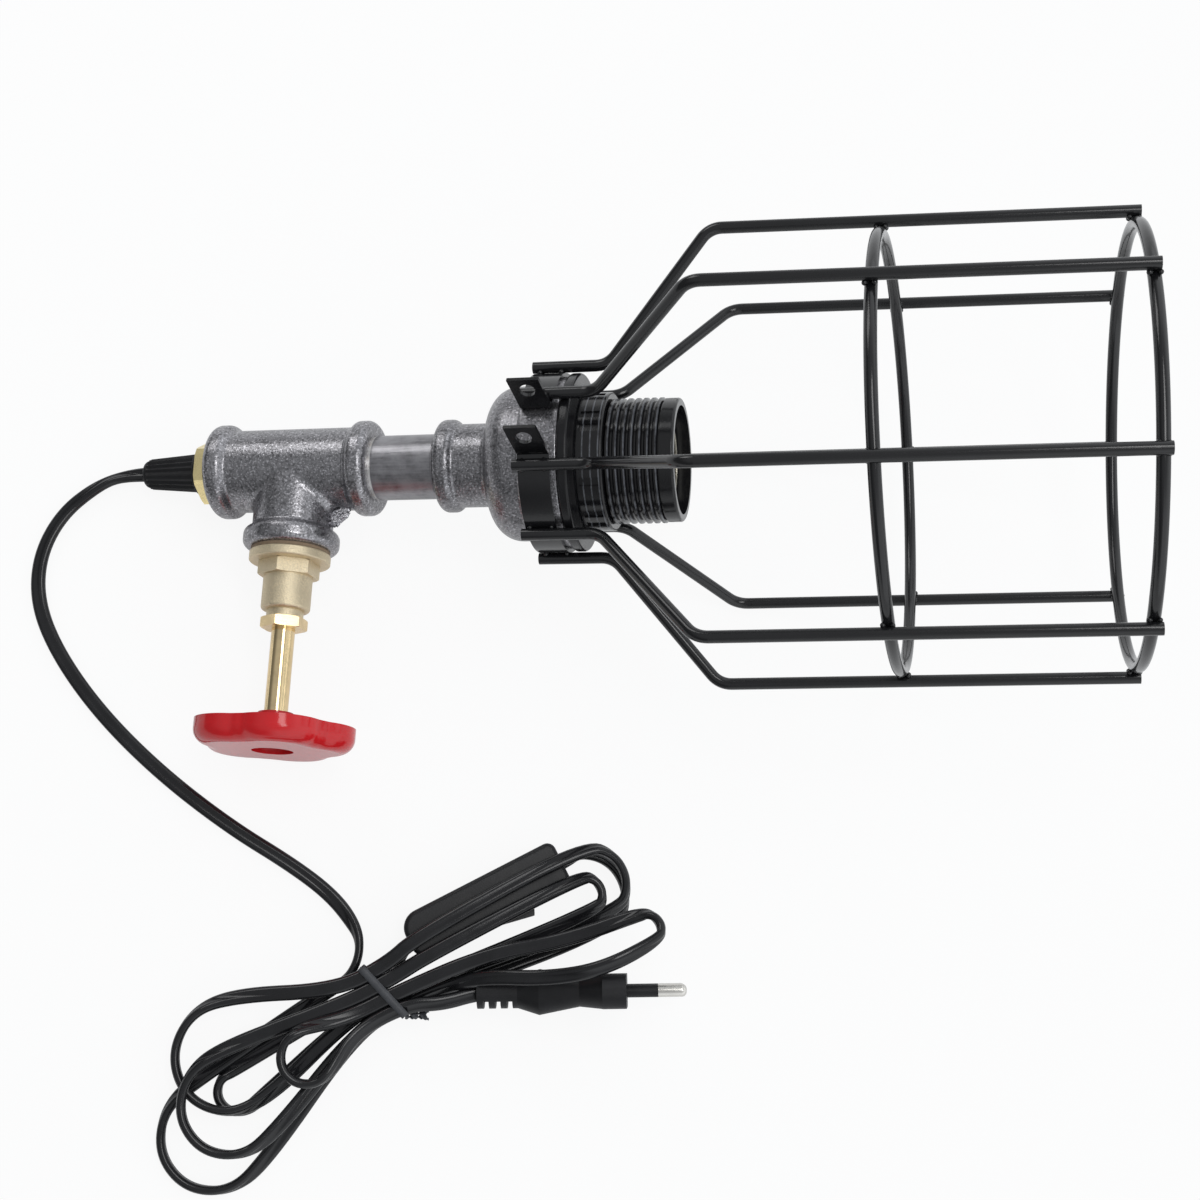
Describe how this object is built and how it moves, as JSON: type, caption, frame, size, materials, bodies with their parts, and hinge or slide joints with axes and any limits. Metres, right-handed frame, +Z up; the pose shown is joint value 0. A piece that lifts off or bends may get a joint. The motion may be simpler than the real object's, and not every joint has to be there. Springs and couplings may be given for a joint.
{
  "type": "pipe table lamp",
  "caption": "Lamp of cast pipe fittings with a valve handwheel on the tee, a screw lampholder, a wire cage guard and a bundled cord with an inline switch and plug.",
  "frame": {"origin": "on the table under the middle of the lamp as it lies: the middle of the lamp's box without its cord, at its base", "axes": "+Z up, +X level along the lamp from its cord grip towards the open end of its cage, +Y away from the handwheel"},
  "size_m": [0.3639, 0.3028, 0.1705],
  "materials": {
    "cast_grey": "graphite grey paint on a cast skin",
    "coupler_grey": "graphite grey paint on a cast skin",
    "pipe_steel": "plain steel pipe",
    "sand_brass": "matte sand cast",
    "bright_brass": "turned and polished",
    "red_paint": "gloss",
    "black_paint": "satin gloss",
    "black_plastic": "satin gloss",
    "black_cord": "satin sheath",
    "brown_core": "core insulation",
    "blue_core": "core insulation",
    "fibre": "fibre washer",
    "rubber": "matte",
    "zinc": "zinc plated",
    "nickel": "nickel plated",
    "tie_grey": "plastic covered wire"
  },
  "bodies": {
    "lamp": {"tee": "cast_grey", "reducing_socket": "coupler_grey", "pipe_nipple": "pipe_steel", "gland_bush": "bright_brass", "cord_grip_body": "black_plastic", "cord_grip_cap": "black_plastic", "inner_cable": "black_cord", "core_live": "brown_core", "core_neutral": "blue_core", "bonnet_gasket": "fibre", "valve_bonnet": "sand_brass", "packing_ring": "rubber", "gland_nut": "bright_brass", "holder_base": "black_plastic", "holder_ring": "black_plastic", "holder_skirt": "black_plastic", "contact_block": "black_plastic", "screw_shell": "nickel", "shell_contact": "nickel", "terminal_screws": "zinc", "clamp_band": "black_paint", "cage_mid_hoop": "black_paint", "cage_end_hoop": "black_paint", "switch_base": "black_plastic", "switch_cover": "black_plastic", "rocker_pin": "zinc", "switch_screws": "zinc", "switch_contacts": "nickel", "plug_body": "black_plastic", "plug_pins": "nickel", "plug_pin_sleeves": "black_plastic", "cord_lead": "black_cord", "cord_to_switch": "black_cord", "cord_to_plug": "black_cord", "twist_tie": "tie_grey", "cage_bar_1": "black_paint", "cage_bar_2": "black_paint", "cage_bar_3": "black_paint", "cage_bar_4": "black_paint", "cage_bar_5": "black_paint", "cage_bar_6": "black_paint", "cage_bar_7": "black_paint", "cage_bar_8": "black_paint"},
    "jumper": {"jumper_plate": "sand_brass", "jumper_washer": "rubber"},
    "spindle": {"valve_spindle": "bright_brass", "handwheel": "red_paint", "wheel_washer": "zinc", "wheel_screw": "zinc"},
    "rocker": {"switch_rocker": "black_plastic"},
    "contact": {"centre_contact": "nickel"}
  },
  "joints": [
    {"name": "jumper_lift", "type": "slide", "parent": "lamp", "child": "jumper", "axis": [-0.0075, -0.9997, 0.0233], "range_m": [-0.005, 0]},
    {"name": "handwheel_turn", "type": "hinge", "parent": "jumper", "child": "spindle", "pos_m": [-0.11196, 0.01249, 0.02295], "axis": [-0.0075, -0.9997, 0.0233], "range_deg": [-900, 0]},
    {"name": "rocker_tilt", "type": "hinge", "parent": "lamp", "child": "rocker", "pos_m": [-0.03887, -0.1296, 0.00625], "axis": [0, 0, 1], "range_deg": [0, 14]},
    {"name": "centre_contact_press", "type": "slide", "parent": "lamp", "child": "contact", "axis": [-0.9515, 0, -0.3076], "range_m": [0, 0.0015], "stiffness_N_per_m": 2000}
  ],
  "couplings": [
    {"joint": "jumper_lift", "follows": "handwheel_turn", "m_per_rad": 0.00031831}
  ]
}
